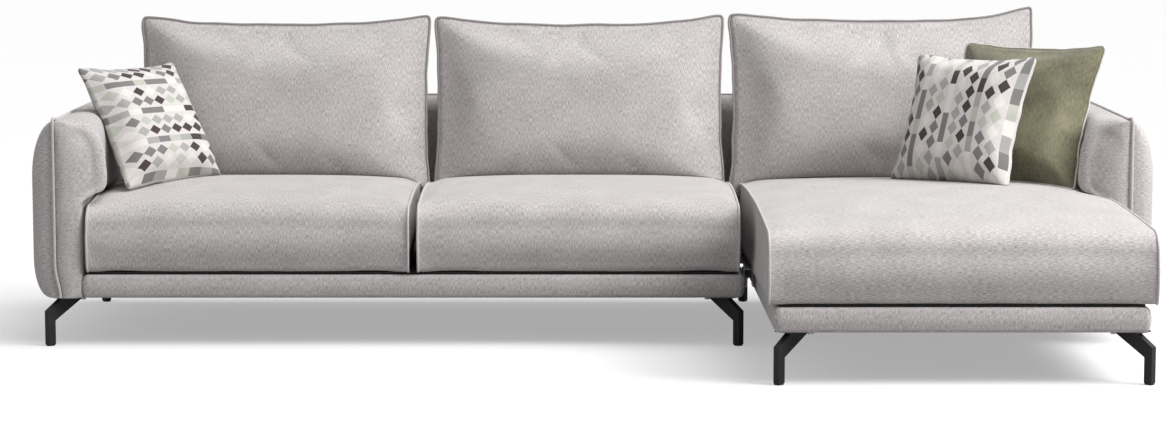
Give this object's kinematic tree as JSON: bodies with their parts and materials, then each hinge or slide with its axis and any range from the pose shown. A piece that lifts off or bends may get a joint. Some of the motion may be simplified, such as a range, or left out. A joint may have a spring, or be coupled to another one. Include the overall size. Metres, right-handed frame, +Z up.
{
  "type": "corner sofa",
  "caption": "L-shaped corner sofa with a chaise, low padded arms and backrest, loose seat, back and scatter cushions, and angled black metal legs.",
  "frame": {"origin": "on the floor, at the middle of the whole sofa's width and depth", "axes": "+X towards the chaise end as seen from the front, +Y towards the backrest, +Z up"},
  "size_m": [3, 1.6234, 0.8779],
  "materials": {
    "upholstery": "warm light grey woven upholstery",
    "print_fabric": "off-white cloth with a grey and brown print",
    "olive_fabric": "plain olive cloth with pale piping",
    "timber": "sawn softwood",
    "webbing": "dark elastic webbing",
    "lining": "dark non-woven lining",
    "leg_metal": "satin black powder coat",
    "steel": "plain zinc-plated steel",
    "glide_plastic": "black plastic"
  },
  "bodies": {
    "sofa_unit": {"hook_sockets": "steel", "left_arm_frame": "timber", "left_arm_pad": "upholstery", "left_arm_panel": "upholstery", "sofa_back_frame": "timber", "sofa_back_pad": "upholstery", "sofa_back_panel": "upholstery", "sofa_border": "upholstery", "sofa_corner_blocks": "timber", "sofa_cross_rails": "timber", "sofa_deck_cloth": "lining", "sofa_dust_cover": "lining", "sofa_foot_glides": "glide_plastic", "sofa_frame_bolts": "steel", "sofa_front_rail": "timber", "sofa_leg_front_left": "leg_metal", "sofa_leg_front_right": "leg_metal", "sofa_leg_rear_left": "leg_metal", "sofa_leg_rear_right": "leg_metal", "sofa_leg_screws": "steel", "sofa_rear_rail": "timber", "sofa_side_rails": "timber", "sofa_webbing": "webbing"},
    "chaise_unit": {"chaise_back_frame": "timber", "chaise_back_pad": "upholstery", "chaise_back_panel": "upholstery", "chaise_border": "upholstery", "chaise_corner_blocks": "timber", "chaise_cross_rails": "timber", "chaise_deck_cloth": "lining", "chaise_dust_cover": "lining", "chaise_foot_glides": "glide_plastic", "chaise_frame_bolts": "steel", "chaise_front_rail": "timber", "chaise_leg_front_left": "leg_metal", "chaise_leg_front_right": "leg_metal", "chaise_leg_rear_left": "leg_metal", "chaise_leg_rear_right": "leg_metal", "chaise_leg_screws": "steel", "chaise_rear_rail": "timber", "chaise_side_rails": "timber", "chaise_webbing": "webbing", "hook_plates": "steel", "right_arm_frame": "timber", "right_arm_pad": "upholstery", "right_arm_panel": "upholstery"},
    "seat_left": {"seat_cushion_left": "upholstery"},
    "seat_middle": {"seat_cushion_middle": "upholstery"},
    "chaise_seat": {"chaise_cushion": "upholstery"},
    "back_left": {"back_cushion_left": "upholstery"},
    "back_middle": {"back_cushion_middle": "upholstery"},
    "back_right": {"back_cushion_right": "upholstery"},
    "scatter_left": {"scatter_cushion_left": "print_fabric"},
    "scatter_olive": {"scatter_cushion_olive": "olive_fabric"},
    "scatter_right": {"scatter_cushion_right": "print_fabric"}
  },
  "joints": [
    {"name": "chaise_unit_unhook", "type": "slide", "parent": "sofa_unit", "child": "chaise_unit", "axis": [0, 0, 1], "range_m": [0, 0.06]},
    {"name": "seat_left_pull", "type": "slide", "parent": "sofa_unit", "child": "seat_left", "axis": [0, -1, 0], "range_m": [0, 0.3]},
    {"name": "seat_middle_pull", "type": "slide", "parent": "sofa_unit", "child": "seat_middle", "axis": [0, -1, 0], "range_m": [0, 0.3]},
    {"name": "chaise_seat_pull", "type": "slide", "parent": "chaise_unit", "child": "chaise_seat", "axis": [0, -1, 0], "range_m": [0, 0.3]},
    {"name": "back_left_lift", "type": "slide", "parent": "seat_left", "child": "back_left", "axis": [0, 0, 1], "range_m": [0, 0.3]},
    {"name": "back_middle_lift", "type": "slide", "parent": "seat_middle", "child": "back_middle", "axis": [0, 0, 1], "range_m": [0, 0.3]},
    {"name": "back_right_lift", "type": "slide", "parent": "chaise_seat", "child": "back_right", "axis": [0, 0, 1], "range_m": [0, 0.3]},
    {"name": "scatter_left_lift", "type": "slide", "parent": "back_left", "child": "scatter_left", "axis": [0, 0, 1], "range_m": [0, 0.25]},
    {"name": "scatter_olive_lift", "type": "slide", "parent": "back_right", "child": "scatter_olive", "axis": [0, 0, 1], "range_m": [0, 0.25]},
    {"name": "scatter_right_lift", "type": "slide", "parent": "scatter_olive", "child": "scatter_right", "axis": [0, 0, 1], "range_m": [0, 0.25]}
  ]
}
